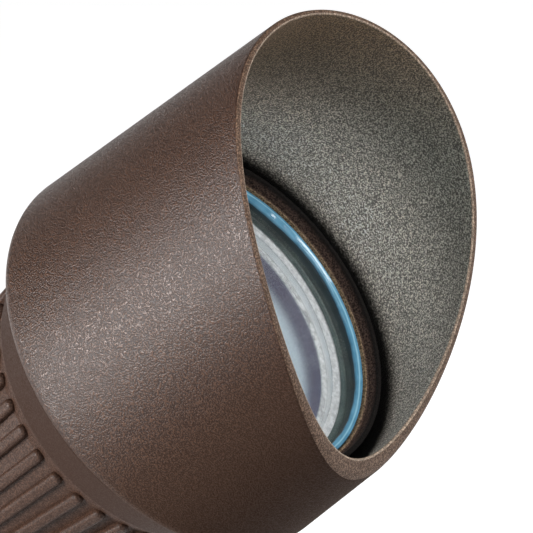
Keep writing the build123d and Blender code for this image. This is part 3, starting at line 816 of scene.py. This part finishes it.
# Camera at the photograph's viewing angle: the aim is in mm from the middle of the cowl's back edge
VIEW_AZIMUTH = radians(30.1)
VIEW_ELEVATION = radians(23.1)
FOCAL_PIXELS = 8000
SENSOR = 36.0
AIM_RIGHT = 15.35
AIM_UP = 15.03
VIEW_DISTANCE = 1233.84
CLIP_NEAR = 0.05
CLIP_FAR = 50.0

right = Vector((cos(VIEW_AZIMUTH), sin(VIEW_AZIMUTH), 0))
toward = Vector((
    sin(VIEW_AZIMUTH) * cos(VIEW_ELEVATION), -cos(VIEW_AZIMUTH) * cos(VIEW_ELEVATION), sin(VIEW_ELEVATION)
))
up = toward.cross(right)
camera = bpy.data.objects.new("camera", bpy.data.cameras.new("camera"))
camera.data.sensor_width = SENSOR
camera.data.lens = FOCAL_PIXELS * SENSOR / IMAGE_SIDE
camera.data.clip_start = CLIP_NEAR
camera.data.clip_end = CLIP_FAR
spot = COWL_BACK + (right * AIM_RIGHT + up * AIM_UP + toward * VIEW_DISTANCE) * MM
camera.matrix_world = Matrix.Translation(spot) @ Matrix((right, up, toward)).transposed().to_4x4()
bpy.context.scene.collection.objects.link(camera)
bpy.context.scene.camera = camera

# Stage, in m: a pale floor that glows for what sees it directly, and soft light all round
FLOOR_SIDE = 8.0
FLOOR_GREY = (0.14, 0.14, 0.14)
FLOOR_PALE = (0.7, 0.7, 0.7)
FLOOR_GLOW = 0.55
SKY_LEVEL = 0.07


def seen_directly(tree):
    """Whether a ray comes from the camera, or by way of a mirror or a glass."""
    path = tree.nodes.new("ShaderNodeLightPath")
    seen = calculate(tree, "MAXIMUM", path.outputs["Is Camera Ray"], path.outputs["Is Glossy Ray"])
    return calculate(tree, "MAXIMUM", seen, path.outputs["Is Transmission Ray"])


def make_floor_material():
    """Matt floor that keeps the object's shadow."""
    material, tree, shader = new_material("floor")
    direct = seen_directly(tree)
    tone = mix(tree, direct, FLOOR_GREY, FLOOR_PALE)
    connect(tree, shader, Base_Color=tone, Emission_Strength=calculate(tree, "MULTIPLY", direct, FLOOR_GLOW))
    set_values(shader, Emission_Color=(*WHITE, 1.0), Roughness=0.9, Specular_IOR_Level=0.1)
    return material


half = FLOOR_SIDE / 2
low = cad_box[0].z
corners = [(-half, -half, low), (half, -half, low), (half, half, low), (-half, half, low)]
floor_mesh = bpy.data.meshes.new("floor")
floor_mesh.from_pydata(corners, [], [(0, 1, 2, 3)])
floor_mesh.materials.append(make_floor_material())
floor = bpy.data.objects.new("floor", floor_mesh)
bpy.context.scene.collection.objects.link(floor)

world = bpy.data.worlds.new("studio")
world.use_nodes = True
set_values(world.node_tree.nodes["Background"], Color=(*WHITE, 1.0), Strength=SKY_LEVEL)
bpy.context.scene.world = world


def softbox(name, direction, distance, width, height, power):
    """Soft light that faces the cowl's back edge from a direction, unseen by the camera itself."""
    lamp = bpy.data.lights.new(name, "AREA")
    lamp.shape = "RECTANGLE"
    lamp.size = width
    lamp.size_y = height
    lamp.energy = power
    piece = bpy.data.objects.new(name, lamp)
    aim = Vector(direction).normalized()
    piece.location = COWL_BACK + aim * distance
    piece.rotation_euler = aim.to_track_quat("Z", "Y").to_euler()
    piece.visible_camera = False
    bpy.context.scene.collection.objects.link(piece)


softbox("left_softbox", (-0.55, -0.83, 0.08), distance=1.1, width=0.6, height=0.4, power=23)
softbox("front_softbox", (0.76, -0.64, 0.14), distance=1.2, width=0.5, height=0.5, power=1.4)
softbox("high_softbox", (0.41, -0.41, 0.82), distance=1.2, width=0.5, height=0.5, power=6.5)
softbox("back_softbox", (0.65, 0.75, 0.02), distance=1.2, width=0.6, height=0.3, power=4.5)
softbox("mouth_softbox", FORWARD, distance=1.2, width=0.4, height=0.4, power=6.5)

bpy.context.scene.view_settings.view_transform = "Standard"
